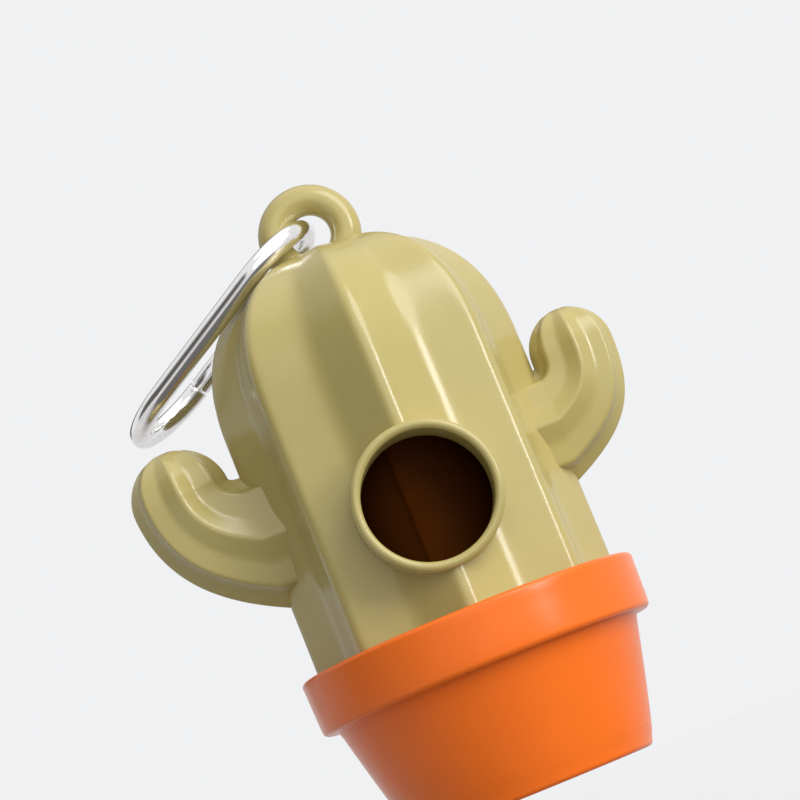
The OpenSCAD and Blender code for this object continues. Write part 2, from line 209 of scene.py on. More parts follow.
class Finish:
    """A node tree under construction, for a material or the world."""

    def __init__(self, owner):
        owner.use_nodes = True
        self.tree = owner.node_tree
        self.tree.nodes.clear()

    def add(self, kind, settings=None, inputs=None, out=0):
        """Adds a node, sets it, fills or links its sockets and gives back one of its outputs."""
        node = self.tree.nodes.new(kind)
        for key, value in (settings or {}).items():
            setattr(node, key, value)
        for key, value in (inputs or {}).items():
            if isinstance(value, Sock):
                self.tree.links.new(value.socket, node.inputs[key])
            else:
                node.inputs[key].default_value = value
        return Sock(self, node.outputs[out]) if len(node.outputs) else None

    def place(self):
        return self.add("ShaderNodeTexCoord", out="Object")

    def placed(self, way="POINT", **inputs):
        """The object's own coordinates, moved, turned or stretched."""
        return self.add("ShaderNodeMapping", {"vector_type": way}, {"Vector": self.place(), **inputs})

    def noise(self, scale, detail, vector=None):
        inputs = {"Vector": vector or self.place(), "Scale": scale, "Detail": detail}
        return self.add("ShaderNodeTexNoise", {}, inputs)

    def ramp(self, value, low, high):
        """0 below low, 1 above high, straight between them."""
        limits = {"Value": value, "From Min": low, "From Max": high}
        return self.add("ShaderNodeMapRange", {"clamp": True}, limits)

    def mix(self, factor, first, second):
        return self.add("ShaderNodeMix", {"data_type": "RGBA"}, {0: factor, 6: first, 7: second}, out=2)

    def ray(self, kind):
        """1 for rays of this kind and 0 for the others."""
        return self.add("ShaderNodeLightPath", out=f"Is {kind} Ray")

    def bump(self, height, distance, normal=None):
        inputs = {"Height": height, "Distance": distance}
        if normal:
            inputs["Normal"] = normal
        return self.add("ShaderNodeBump", {}, inputs)

    def surface(self, **inputs):
        inputs = {key.replace("_", " "): value for key, value in inputs.items()}
        shader = self.add("ShaderNodeBsdfPrincipled", {}, inputs)
        self.add("ShaderNodeOutputMaterial", {}, {"Surface": shader})


def shade(tint, share):
    """A colour made lighter or darker, as a socket's value."""
    return (*[min(1, c * share) for c in tint], 1)


def material(name):
    """The material of that name, with a tree to build if it is new."""
    made = bpy.data.materials.get(name)
    if made:
        return made, None
    made = bpy.data.materials.new(name)
    return made, Finish(made)


def moulded(name, tint, rough=0.2, ior=1.5):
    """Semi-gloss moulded plastic: faint flow clouds, sink ripple in the gloss, a fine grain and dust."""
    made, f = material(name)
    if f:
        clouds = f.noise(70, 3)
        ripple = f.noise(150, 1)
        grain = f.noise(3200, 2)
        dust = f.ramp(f.noise(900, 1), 0.76, 0.80)
        base = f.mix(f.ramp(clouds, 0.3, 0.7), shade(tint, 0.965), shade(tint, 1.035))
        base = f.mix(dust * 0.12, base, shade(tint, 0.45))
        gloss = rough - 0.04 + 0.05 * clouds + 0.03 * grain
        normal = f.bump(grain, 0.012 * MM, f.bump(ripple, 0.06 * MM))
        f.surface(Base_Color=base, Roughness=gloss, Normal=normal, IOR=ior)
    return made


def bag_film(name, tint, film_end):
    """Thin dark film in wound layers: long creases round the roll, and the last wrap's edge, with a band
    of painted light beside it.
    """
    made, f = material(name)
    if f:
        creases = f.noise(1, 3, f.placed(Scale=(90, 90, 320)))
        wrinkles = f.noise(420, 3)
        turned = f.placed(Rotation=(0, 0, -film_end))
        around = f.add("ShaderNodeTexGradient", {"gradient_type": "RADIAL"}, {"Vector": turned}, out=1)
        step = f.ramp(around, 0.4995, 0.5005)
        # painted light: the film is lighter in a band just past its loose edge and on the roll's far
        # side, and darker elsewhere; only the edge itself is real
        outer = step * (1 - 0.6 * f.ramp(around, 0.5, 0.56)) + 0.4 * (1 - f.ramp(around, 0.0, 0.35))
        base = f.mix(outer, shade(tint, 0.85), shade(tint, 1.3))
        base = f.mix(0.5 * f.ramp(creases, 0.35, 0.75), base, shade(tint, 0.95))
        gloss = 0.42 + 0.2 * wrinkles
        normal = f.bump(wrinkles, 0.02 * MM, f.bump(creases, 0.10 * MM))
        f.surface(Base_Color=base, Roughness=gloss, Normal=normal, Specular_IOR_Level=0.02)
    return made


def core_card(name, tint):
    """Wound brown board: fibres, and the spiral seam of its strips."""
    made, f = material(name)
    if f:
        fibres = f.noise(1, 4, f.placed(Scale=(900, 900, 240)))
        flecks = f.noise(1400, 3)
        strip = f.add("ShaderNodeTexWave", {"wave_type": "BANDS", "bands_direction": "DIAGONAL"},
                      {"Vector": f.place(), "Scale": 9.0, "Distortion": 0.4, "Detail": 1.0}, out=1)
        seam = f.ramp(strip, 0.96, 1.0)
        base = f.mix(f.ramp(fibres, 0.3, 0.7), shade(tint, 0.82), shade(tint, 1.15))
        base = f.mix(seam * 0.5, base, shade(tint, 0.5))
        f.surface(Base_Color=base, Roughness=0.78 + 0.15 * flecks,
                  Normal=f.bump(fibres, 0.03 * MM, f.bump(flecks, 0.015 * MM)))
    return made


def plated(name, tint, turn):
    """Bright plate on bent wire: drawing streaks along the wire, handling marks and slight waves."""
    made, f = material(name)
    if f:
        along = f.placed("TEXTURE", Rotation=turn, Scale=(0.02, 0.0004, 0.0004))
        streaks = f.ramp(f.noise(1, 3, along), 0.45, 0.7)
        waves = f.noise(180, 1)
        dull = f.ramp(f.noise(520, 2), 0.46, 0.78)
        base = f.mix(streaks * 0.6 + dull * 0.2, shade(tint, 1.0), shade(tint, 0.78))
        f.surface(Base_Color=base, Metallic=1.0, Roughness=0.085 + 0.05 * streaks + 0.03 * dull,
                  Normal=f.bump(waves, 0.004 * MM))
    return made


def drawn_steel(name, tint):
    """Plain drawn steel of pins and springs: fine turning lines and a dull film."""
    made, f = material(name)
    if f:
        lines = f.noise(1, 4, f.placed(Scale=(6000, 6000, 1500)))
        film = f.noise(900, 3)
        base = f.mix(f.ramp(film, 0.4, 0.7), shade(tint, 1.05), shade(tint, 0.8))
        normal = f.bump(lines, 0.006 * MM)
        f.surface(Base_Color=base, Metallic=1.0, Roughness=0.26 + 0.2 * lines, Normal=normal)
    return made


# ---------------------------------------------------------------- mesh helpers


def raw(name, bm):
    """Turns a bmesh into an object in the scene."""
    mesh = bpy.data.meshes.new(name)
    bm.to_mesh(mesh)
    bm.free()
    made = bpy.data.objects.new(name, mesh)
    bpy.context.scene.collection.objects.link(made)
    return made


def finished(name, bm, look, body, stands_for, crease=38):
    """Turns a bmesh into a dressed piece."""
    return dressed(raw(name, bm), look, body, stands_for, crease)


def dressed(made, look, body, stands_for, crease=38):
    """Shades and colours a piece, and lets it ride on its body in place of the solids it stands for."""
    mesh = made.data
    mesh.materials.clear()
    mesh.materials.append(look)
    mesh.shade_smooth()
    mesh.set_sharp_from_angle(angle=math.radians(crease))
    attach(made, body)
    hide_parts(*stands_for)
    return made


def settled(made):
    """Applies a piece's modifiers to its mesh."""
    seen = made.evaluated_get(bpy.context.evaluated_depsgraph_get())
    mesh = bpy.data.meshes.new_from_object(seen)
    made.modifiers.clear()
    made.data = mesh


def edges_of(verts):
    return list({e for v in verts for e in v.link_edges})


def loft(bm, ring, places):
    """Carries a closed ring of vertices from place to place and leaves a wall behind it."""
    bmesh.ops.transform(bm, matrix=places[0], verts=ring)
    edges = edges_of(ring)
    for before, after in zip(places, places[1:]):
        grown = bmesh.ops.extrude_edge_only(bm, edges=edges)["geom"]
        ring = [g for g in grown if isinstance(g, bmesh.types.BMVert)]
        inside = set(ring)
        edges = list({e for v in ring for e in v.link_edges if e.other_vert(v) in inside})
        bmesh.ops.transform(bm, matrix=after @ before.inverted(), verts=ring)
    return ring, edges


def outward(bm):
    """Joins doubled vertices and turns every face outward."""
    bmesh.ops.remove_doubles(bm, verts=bm.verts, dist=0.0005 * MM)
    bmesh.ops.recalc_face_normals(bm, faces=bm.faces)


def turned(bm, profile, cent=(0, 0, 0), axis=(0, 0, 1), steps=160):
    """Spins a closed profile of points about an axis."""
    verts = [bm.verts.new(p) for p in profile]
    edges = [bm.edges.new((a, b)) for a, b in zip(verts, verts[1:] + verts[:1])]
    bmesh.ops.spin(bm, geom=verts + edges, cent=cent, axis=axis, angle=2 * math.pi, steps=steps,
                   use_merge=True)
    outward(bm)


def upright(profile):
    """Points of radius and height in the plane through the body's axis."""
    return [(r, 0, z) for r, z in profile]


def soften(bm, offset):
    """Rounds every edge sharper than 40 degrees."""
    limit = math.radians(40)
    sharp = [e for e in bm.edges if len(e.link_faces) == 2 and e.calc_face_angle(0) > limit]
    bmesh.ops.bevel(bm, geom=sharp, offset=offset, affect="EDGES", segments=2, profile=0.5, material=-1)


def arc(centre, radius, start, end, steps):
    """Points of an arc in the plane of a profile, angles in degrees."""
    points = []
    for k in range(steps + 1):
        q = math.radians(start + (end - start) * k / steps)
        points.append((centre[0] + radius * math.cos(q), centre[1] + radius * math.sin(q)))
    return points


def bezier(p, t):
    """The point at t on the cubic curve of four control points."""
    return p[0] * (1 - t) ** 3 + p[1] * 3 * t * (1 - t) ** 2 + p[2] * 3 * t * t * (1 - t) + p[3] * t ** 3


def rib(t, valley, half, crest_round, valley_round):
    """Radius of a ribbed section as a share of its crest. t runs from 0 on a crest to 1 in a valley.

    The section is straight between the two, and rounded over the given shares of t at either end.
    """
    line = valley * math.sin(half) / (math.sin(t * half) + valley * math.sin(half - t * half))
    cut = half * (1 - valley * math.cos(half)) / (valley * math.sin(half)) * crest_round / 2
    fill = half * valley * (math.cos(half) - valley) / math.sin(half) * valley_round / 2
    crest = cut * max(0, 1 - t / crest_round) ** 2
    hollow = fill * max(0, 1 - (1 - t) / valley_round) ** 2
    return (line - crest + hollow) / (1 - cut)


def ribbed_ring(bm, ribs, side_steps, valley, crest_round, valley_round, start):
    """A circle drawn into ribs. side_steps run from just past a crest to the valley."""
    steps = [-t for t in reversed(side_steps[:-1])] + [0] + list(side_steps)
    half = math.pi / ribs
    ring = bmesh.ops.create_circle(bm, segments=ribs * len(steps), radius=1)["verts"]
    for i, vert in enumerate(ring):
        k, j = divmod(i, len(steps))
        angle = start + (2 * k + steps[j]) * half
        r = rib(abs(steps[j]), valley, half, crest_round, valley_round)
        vert.co = (r * math.cos(angle), r * math.sin(angle), 0)
    return ring


def scaled(r, z):
    return Matrix.Translation((0, 0, z)) @ Matrix.Diagonal((r, r, 1, 1))


# ---------------------------------------------------------------- pieces


class DISPENSER_OT_shell(bpy.types.Operator):
    """Makes the ribbed cactus shell with its neck and hang loop"""

    bl_idname = "dispenser.shell"
    bl_label = "Cactus shell"

    def execute(self, context):
        s = context.scene.dispenser_shell
        green = moulded("cactus_moulding", context.scene.dispenser_finishes.cactus)
        self.ribbed_wall(s, context.scene.dispenser_outlet, green)
        self.neck(s, context.scene.dispenser_pot.height, green)
        self.hang_loop(s, green)
        return {"FINISHED"}

    def ribbed_wall(self, s, outlet, green):
        """Lofts the inner skin from its pole down, turns at the lower edge and comes up outside."""
        bm = bmesh.new()
        steps = (0.045, 0.09, 0.13, 0.2, 0.36, 0.54, 0.68, 0.78, 0.84, 0.9, 0.95, 1)
        first = ribbed_ring(bm, s.ribs, steps, s.valley, crest_round=0.13, valley_round=0.22,
                            start=-math.pi / 2)
        inside = self.outline(s, s.crest_radius - s.wall, s.dome_top - s.wall, 24)
        outside = self.outline(s, s.crest_radius, s.dome_top, 44)
        last, _ = loft(bm, first, [scaled(r, z) for r, z in inside[::-1] + outside])
        bmesh.ops.pointmerge(bm, verts=last, merge_co=(0, 0, s.dome_top))
        bmesh.ops.pointmerge(bm, verts=first, merge_co=(0, 0, s.dome_top - s.wall))
        outward(bm)
        shell = raw("ribbed_shell", bm)
        self.drill(shell, s.crest_radius, outlet)
        dressed(shell, green, "cactus", ["cactus_body"])

    def outline(self, s, radius, top, rows):
        """Crest radius and height of the wall from its lower edge almost to the pole."""
        straight = 14
        points = [(radius, s.low + (s.dome_start - s.low) * k / straight) for k in range(straight)]
        for k in range(rows):
            q = math.radians(90 * k / rows)
            points.append((radius * math.cos(q) ** (2 / s.dome_power),
                           s.dome_start + (top - s.dome_start) * math.sin(q) ** (2 / s.dome_power)))
        return points

    def drill(self, shell, crest_radius, outlet):
        """Takes the outlet's round hole out of the front wall. Its edge ends within the collar's wall."""
        radius = outlet.radius + outlet.wall * 0.6
        bm = bmesh.new()
        bit = bmesh.ops.create_cone(bm, cap_ends=True, segments=128, radius1=radius, radius2=radius,
                                    depth=crest_radius * 0.9)["verts"]
        place = Matrix.Translation((0, -crest_radius, outlet.z)) @ Matrix.Rotation(math.pi / 2, 4, "X")
        bmesh.ops.transform(bm, matrix=place, verts=bit)
        bmesh.ops.recalc_face_normals(bm, faces=bm.faces)
        cutter = raw("outlet_drill", bm)
        hole = shell.modifiers.new("hole", "BOOLEAN")
        hole.operation = "DIFFERENCE"
        hole.solver = "EXACT"
        hole.object = cutter
        settled(shell)
        bpy.data.objects.remove(cutter)

    def neck(self, s, rim, green):
        """Turns the neck with its snap bead, and the flange that closes the pot."""
        top = rim - 0.2 * MM
        edge = 0.3 * MM
        profile = [(s.neck_in, s.neck_low), (s.neck_out - 0.5 * MM, s.neck_low),
                   (s.neck_out, s.neck_low + MM)]
        profile += arc((s.neck_out - 0.4 * MM, SNAP_Z), 0.5 * MM, -36, 36, 8)
        profile += [(s.neck_out, s.flange_seat), (s.flange, s.flange_seat)]
        profile += arc((s.flange - edge, top - edge), edge, 0, 90, 5)
        profile += [(s.neck_in, top)]
        bm = bmesh.new()
        turned(bm, upright(profile))
        finished("shell_neck", bm, green, "cactus", ["cactus_body"])

    def hang_loop(self, s, green):
        """Spins a round section about the loop's centre."""
        bm = bmesh.new()
        section = bmesh.ops.create_circle(
            bm, segments=48, radius=s.loop_bar,
            matrix=Matrix.Translation((s.loop_ring, 0, s.loop_z)))["verts"]
        bmesh.ops.spin(bm, geom=section + edges_of(section), cent=(0, 0, s.loop_z), axis=(0, 1, 0),
                       angle=2 * math.pi, steps=112, use_merge=True)
        outward(bm)
        finished("hang_loop", bm, green, "cactus", ["cactus_body"])


class DISPENSER_OT_outlet(bpy.types.Operator):
    """Makes the rounded collar around the bag outlet"""

    bl_idname = "dispenser.outlet"
    bl_label = "Outlet collar"

    def execute(self, context):
        o = context.scene.dispenser_outlet
        green = moulded("cactus_moulding", context.scene.dispenser_finishes.cactus)
        lip = o.wall / 2
        profile = [(o.radius, -o.back)]
        profile += [(r, -y) for r, y in arc((o.radius + lip, o.front - lip), lip, 180, 0, 16)]
        profile += [(o.radius + o.wall, -o.back)]
        bm = bmesh.new()
        turned(bm, [(r, y, o.z) for r, y in profile], cent=(0, 0, o.z), axis=(0, 1, 0))
        finished("outlet_bead", bm, green, "cactus", ["outlet_collar"])
        return {"FINISHED"}


class DISPENSER_OT_arms(bpy.types.Operator):
    """Makes the two ribbed arms, each bent up from its root to a round tip"""

    bl_idname = "dispenser.arms"
    bl_label = "Arms"

    def execute(self, context):
        a = context.scene.dispenser_arms
        root = context.scene.dispenser_shell.crest_radius
        left = (a.left_low, a.left_high, -LEFT_BOX[0].x, LEFT_BOX[1].z, a.left_tip_radius, a.left_lean)
        right = (a.right_low, a.right_high, RIGHT_BOX[1].x, RIGHT_BOX[1].z, a.right_tip_radius,
                 a.right_lean)
        self.arm("left_arm", "arm_left", a.valley, -1, self.bend(a, root, *left))
        self.arm("right_arm", "arm_right", a.valley, 1, self.bend(a, root, *right))
        return {"FINISHED"}

    def arm(self, name, node, valley, side, bend):
        """Lofts a ribbed ring along the bend and closes it at the seat and at the tip."""
        green = moulded("cactus_moulding", bpy.context.scene.dispenser_finishes.cactus)
        places, pole = bend
        bm = bmesh.new()
        steps = (0.05, 0.1, 0.14, 0.26, 0.5, 0.72, 0.82, 0.91, 1)
        ring = ribbed_ring(bm, 8, steps, valley, crest_round=0.14, valley_round=0.2, start=0)
        seat = edges_of(ring)
        ring, _ = loft(bm, ring, places)
        bmesh.ops.pointmerge(bm, verts=ring, merge_co=(pole.x, 0, pole.y))
        bmesh.ops.contextual_create(bm, geom=seat)
        if side < 0:
            bmesh.ops.scale(bm, vec=(-1, 1, 1), verts=bm.verts)
        outward(bm)
        finished(name, bm, green, "cactus", [node])

    def bend(self, a, root, low, high, reach, tip, tip_r, lean):
        """Places of the ring between the arm's inner and outer curve, and the pole of its round tip."""
        # how far the curves' control points stand off their ends, the last as a share of the way
        low_pull, tip_pull, inner_pull = 10.5 * MM, 9 * MM, 0.6
        bends, rounds = 40, 16
        middle = Vector((reach - tip_r, tip - tip_r))
        across = tip_r * Vector((math.cos(lean), -math.sin(lean)))
        along = tip_r * Vector((math.sin(lean), math.cos(lean)))
        foot = Vector((root, low))
        outer = [foot, foot + low_pull * Vector((math.cos(a.slope), math.sin(a.slope))),
                 middle + across - tip_pull / tip_r * along, middle + across]
        crook = Vector((root + 0.2 * MM, high))
        end = middle - across
        inner = [crook, crook + Vector((inner_pull * (end.x - crook.x), 0)),
                 end - inner_pull * (end.y - crook.y) / tip_r * along, end]
        tip_half = tip_r * 0.87
        places = [self.section(Vector((a.seat, high)), Vector((a.seat, low)), a.half)]
        for k in range(bends + 1):
            t = k / bends
            thick = a.half + (tip_half - a.half) * t * t
            places.append(self.section(bezier(inner, t), bezier(outer, t), thick))
        for k in range(1, rounds):
            q = math.radians(90 * k / rounds)
            here = middle + along * math.sin(q)
            spread = across * math.cos(q)
            places.append(self.section(here - spread, here + spread, tip_half * math.cos(q)))
        return places, middle + along

    def section(self, top, foot, thick):
        """Places the ring between a top and a foot point, with half its thickness front to back."""
        d = (top - foot) / 2
        c = (top + foot) / 2
        m = Matrix.Identity(4)
        m.col[0] = (d.x, 0, d.y, 0)
        m.col[1] = (0, thick, 0, 0)
        m.col[2] = (-d.y, 0, d.x, 0)
        m.col[3] = (c.x, 0, c.y, 1)
        return m


class DISPENSER_OT_pot(bpy.types.Operator):
    """Makes the pot with its stepped rim, bore, foot ring and boss"""

    bl_idname = "dispenser.pot"
    bl_label = "Pot"

    def execute(self, context):
        p = context.scene.dispenser_pot
        orange = moulded("pot_moulding", context.scene.dispenser_finishes.pot, rough=0.26, ior=1.38)
        profile = self.foot(p) + self.rim(p) + self.inside(p, context.scene.dispenser_shell)
        bm = bmesh.new()
        turned(bm, upright(profile), steps=192)
        finished("pot_moulding", bm, orange, "pot", ["pot"], 42)
        return {"FINISHED"}

    def outside(self, p, z):
        """Outer radius of the wall under the rim, which widens a little faster near the base."""
        return p.base_radius + (p.wall_radius - p.base_radius) * (z / p.rim_low) ** 0.88

    def foot(self, p):
        """The underside with its ring groove, the rounded foot and the wall up to the rim."""
        edge = 0.8 * MM
        groove = p.base_radius - 4.17 * MM
        profile = [(AXIS_GAP, 0)]
        profile += [(groove + x * MM, z * MM) for x, z in
                    ((-0.8, 0), (-0.8, 0.3), (-0.5, 0.6), (0.5, 0.6), (0.8, 0.3), (0.8, 0))]
        profile += arc((self.outside(p, 0.6 * MM) - edge, edge), edge, -90, 0, 6)
        profile += [(self.outside(p, p.rim_low * k / 16), p.rim_low * k / 16) for k in range(2, 16)]
        return profile

    def rim(self, p):
        """The fillet under the rim, the rim's rounded edges and its slightly flared face."""
        fillet, low_edge, top_edge = 0.35 * MM, 0.8 * MM, 0.7 * MM
        rise = p.height - p.rim_low
        flare = p.rim_top_radius - p.rim_low_radius
        profile = arc((p.wall_radius + fillet, p.rim_low - fillet), fillet, 180, 90, 4)
        profile += arc((p.rim_low_radius - low_edge, p.rim_low + low_edge), low_edge, -90, 0, 8)
        profile += [(p.rim_low_radius + flare * k / 5, p.rim_low + rise * k / 5) for k in range(1, 5)]
        profile += arc((p.rim_top_radius - top_edge, p.height - top_edge), top_edge, 0, 90, 8)
        return profile

    def inside(self, p, shell):
        """The flange's seat, the bore with its snap groove, the wall, the floor and the boss."""
        lip = shell.flange + 0.15 * MM
        chamfer = 0.5 * MM
        profile = [(lip + chamfer, p.height), (lip, p.height - chamfer), (lip, shell.flange_seat),
                   (p.bore, shell.flange_seat)]
        profile += arc((p.bore - 0.01 * MM, SNAP_Z), 0.4 * MM, 60, -60, 8)
        bore_end = 10 * MM
        for k in range(6, -1, -1):
            z = p.floor + (bore_end - p.floor) * k / 6
            profile.append((min(self.outside(p, z) - p.wall, p.bore), z))
        shoulder, tip = p.floor + 6 * MM, p.floor + 7.5 * MM
        socket = p.boss - 1.4 * MM
        profile += [(p.boss, p.floor), (p.boss, shoulder), (p.boss - 0.9 * MM, tip)]
        profile += [(socket, tip), (socket, p.floor), (AXIS_GAP, p.floor)]
        return profile


class DISPENSER_OT_bag_roll(bpy.types.Operator):
    """Makes the wound roll of bags, with layered ends and a loose film edge, on its card core"""

    bl_idname = "dispenser.bag_roll"
    bl_label = "Bag roll"

    def execute(self, context):
        r = context.scene.dispenser_roll
        looks = context.scene.dispenser_finishes
        self.wound(r, bag_film("wound_film", looks.film, r.film_end))
        self.core(r, core_card("brown_board", looks.card))
        return {"FINISHED"}

    def wound(self, r, film):
        """Lofts the wraps up the wall, in over the layered upper end, down the core and out below."""
        bm = bmesh.new()
        segments, layers = 240, 16
        ring = bmesh.ops.create_circle(bm, segments=segments, radius=1)["verts"]
        # the last wrap winds in by 1.6 % of the radius, and the ring's last steps are the film's edge
        for i, vert in enumerate(ring):
            share = min(1.0, i / (segments - 3))
            dent = 0.0016 * math.sin(7 * share * math.pi + 1) + 0.001 * math.sin(19 * share * math.pi)
            around = r.film_end + 2 * math.pi * i / segments
            radius = 0.9985 - 0.016 * share + dent
            vert.co = (radius * math.cos(around), radius * math.sin(around), 0)
        out, back = 0.12 * MM, 0.03 * MM  # every second layer stands out a little at the ends
        high, low = [], []
        for k in range(layers + 1):
            high.append(scaled(r.radius + (r.core - r.radius) * k / layers,
                               r.high + (out if k % 2 else -back)))
            low.append(scaled(r.core + (r.radius - r.core) * k / layers,
                              r.low + (-out if k % 2 else back)))
        rows = 8
        wall = [scaled(r.radius, r.low + 0.5 * MM + (r.high - r.low - MM) * k / rows)
                for k in range(rows + 1)]
        loft(bm, ring, wall + high[1:] + low[:-1] + wall[:1])
        outward(bm)
        finished("film_roll", bm, film, "roll", ["bag_roll"], 50)

    def core(self, r, card):
        """Turns the card tube, which stands a little out of the roll at both ends."""
        bm = bmesh.new()
        low, high = r.low - 0.2 * MM, r.high + 0.2 * MM
        outer = r.core - 0.05 * MM
        profile = [(r.core_bore, low), (outer, low), (outer, high), (r.core_bore, high)]
        turned(bm, upright(profile), steps=96)
        soften(bm, 0.12 * MM)
        finished("card_core", bm, card, "roll", ["roll_core"])


class DISPENSER_OT_link(bpy.types.Operator):
    """Makes the wire link with its tongues, and dresses the gate, pins, plunger and spring"""

    bl_idname = "dispenser.link"
    bl_label = "Wire link"

    def execute(self, context):
        k = context.scene.dispenser_link
        looks = context.scene.dispenser_finishes
        hung = (Matrix.Translation((k.hook_x, k.hook_y, k.hook_z)) @ Matrix.Rotation(k.yaw, 4, "Z")
                @ Matrix.Rotation(math.pi - k.drop, 4, "Y") @ Matrix.Rotation(k.roll, 4, "X"))
        plate = plated("bright_plate", looks.plate, hung.to_euler())
        steel = drawn_steel("drawn_steel", looks.steel)
        self.wire(k, hung, plate)
        self.tongues(k, hung, plate)
        self.copied("gate_rod", "carabiner_gate", plate, "plated_wire", "gate", 0.06 * MM)
        self.copied("pivot_rivet", "gate_pin", plate, "rivet_steel", "gate", 0.06 * MM)
        self.copied("nose_pin", "latch_pin", steel, "rivet_steel", "carabiner", 0.06 * MM)
        self.copied("plunger_rod", "spring_plunger", steel, "rivet_steel", "plunger", 0.05 * MM)
        self.copied("coil_spring", "gate_spring", steel, "spring_steel", "gate", 0)
        return {"FINISHED"}

    def ends(self, k):
        """Where along the link the full wire ends beside the pivot, and at the nose's shoulder."""
        return k.pivot - k.cam - 0.45 * MM, k.length - k.width / 2

    def across(self, x, y, way, size=1.0):
        """Places the wire's ring at a point of the link, square to its way, at a share of its size."""
        m = Matrix.Identity(4)
        m.col[0] = (-way.y * size, way.x * size, 0, 0)
        m.col[1] = (0, 0, size, 0)
        m.col[2] = (way.x, way.y, 0, 0)
        m.col[3] = (x, y, 0, 1)
        return m

    def half_turn(self, centre, radius, start, skip=0):
        """Places round a bow: half a circle back from the start angle, less the ones to skip."""
        steps = 48
        places = []
        for i in range(skip, steps + 1):
            q = math.radians(start - 180 * i / steps)
            way = Vector((math.sin(q), -math.cos(q)))
            places.append(self.across(centre + radius * math.cos(q), radius * math.sin(q), way))
        return places

    def wire(self, k, hung, plate):
        """Carries the wire from the nose's shoulder round both bows to the pivot, with broken edges."""
        bow = k.width / 2
        stub, far = self.ends(k)
        out, back = Vector((1, 0)), Vector((-1, 0))
        places = [self.across(far, bow, out, 0.88), self.across(far + 0.06 * MM, bow, out, 0.96),
                  self.across(far + 0.2 * MM, bow, out)]
        places += self.half_turn(far, bow, 90, skip=1)
        places += [self.across(far + (bow - far) * i / 12, -bow, back) for i in range(1, 12)]
        places += self.half_turn(bow, bow, -90)
        places += [self.across(stub - 0.08 * MM, bow, out, 0.96), self.across(stub, bow, out, 0.88)]
        bm = bmesh.new()
        ring = bmesh.ops.create_circle(bm, segments=40, radius=k.wire)["verts"]
        first = edges_of(ring)
        _, last = loft(bm, ring, places)
        bmesh.ops.contextual_create(bm, geom=first)
        bmesh.ops.contextual_create(bm, geom=last)
        outward(bm)
        bmesh.ops.transform(bm, matrix=hung, verts=bm.verts)
        finished("wire_bow", bm, plate, "carabiner", ["carabiner_frame"])

    def tongues(self, k, hung, plate):
        """The flat tongues at the pivot and the nose, and the cam that the plunger presses on."""
        bow = k.width / 2
        stub, far = self.ends(k)
        bm = bmesh.new()
        self.tab(bm, stub - MM, k.pivot, bow, 1.1 * MM, k.tongue)
        self.tab(bm, far - k.nose, far + MM, bow, 1.0 * MM, k.tongue)
        bmesh.ops.create_cone(bm, cap_ends=True, segments=48, radius1=k.cam, radius2=k.cam,
                              depth=k.tongue, matrix=Matrix.Translation((k.pivot, bow - k.cam_off, 0)))
        soften(bm, 0.1 * MM)
        bmesh.ops.transform(bm, matrix=hung, verts=bm.verts)
        finished("wire_tongues", bm, plate, "carabiner", ["carabiner_frame"])

    def tab(self, bm, start, end, y, half, thick):
        """A flat bar along the link, from start to end."""
        size = Matrix.Diagonal((end - start, 2 * half, thick, 1))
        bmesh.ops.create_cube(bm, size=1, matrix=Matrix.Translation(((start + end) / 2, y, 0)) @ size)

    def copied(self, name, node, look, slot, body, edge):
        """A merged copy of a small part, with its edges broken."""
        bm = bmesh.new()
        bm.from_mesh(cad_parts[node].data)
        bmesh.ops.remove_doubles(bm, verts=bm.verts, dist=0.001 * MM)
        if edge:
            bmesh.ops.dissolve_limit(bm, angle_limit=math.radians(1.5), verts=bm.verts, edges=bm.edges)
        made = finished(name, bm, look, body, [node], 35)
        if edge:
            rounding = made.modifiers.new("broken_edge", "BEVEL")
            rounding.width = edge
            rounding.segments = 2
            rounding.limit_method = "ANGLE"
            rounding.angle_limit = math.radians(40)
            rounding.harden_normals = True


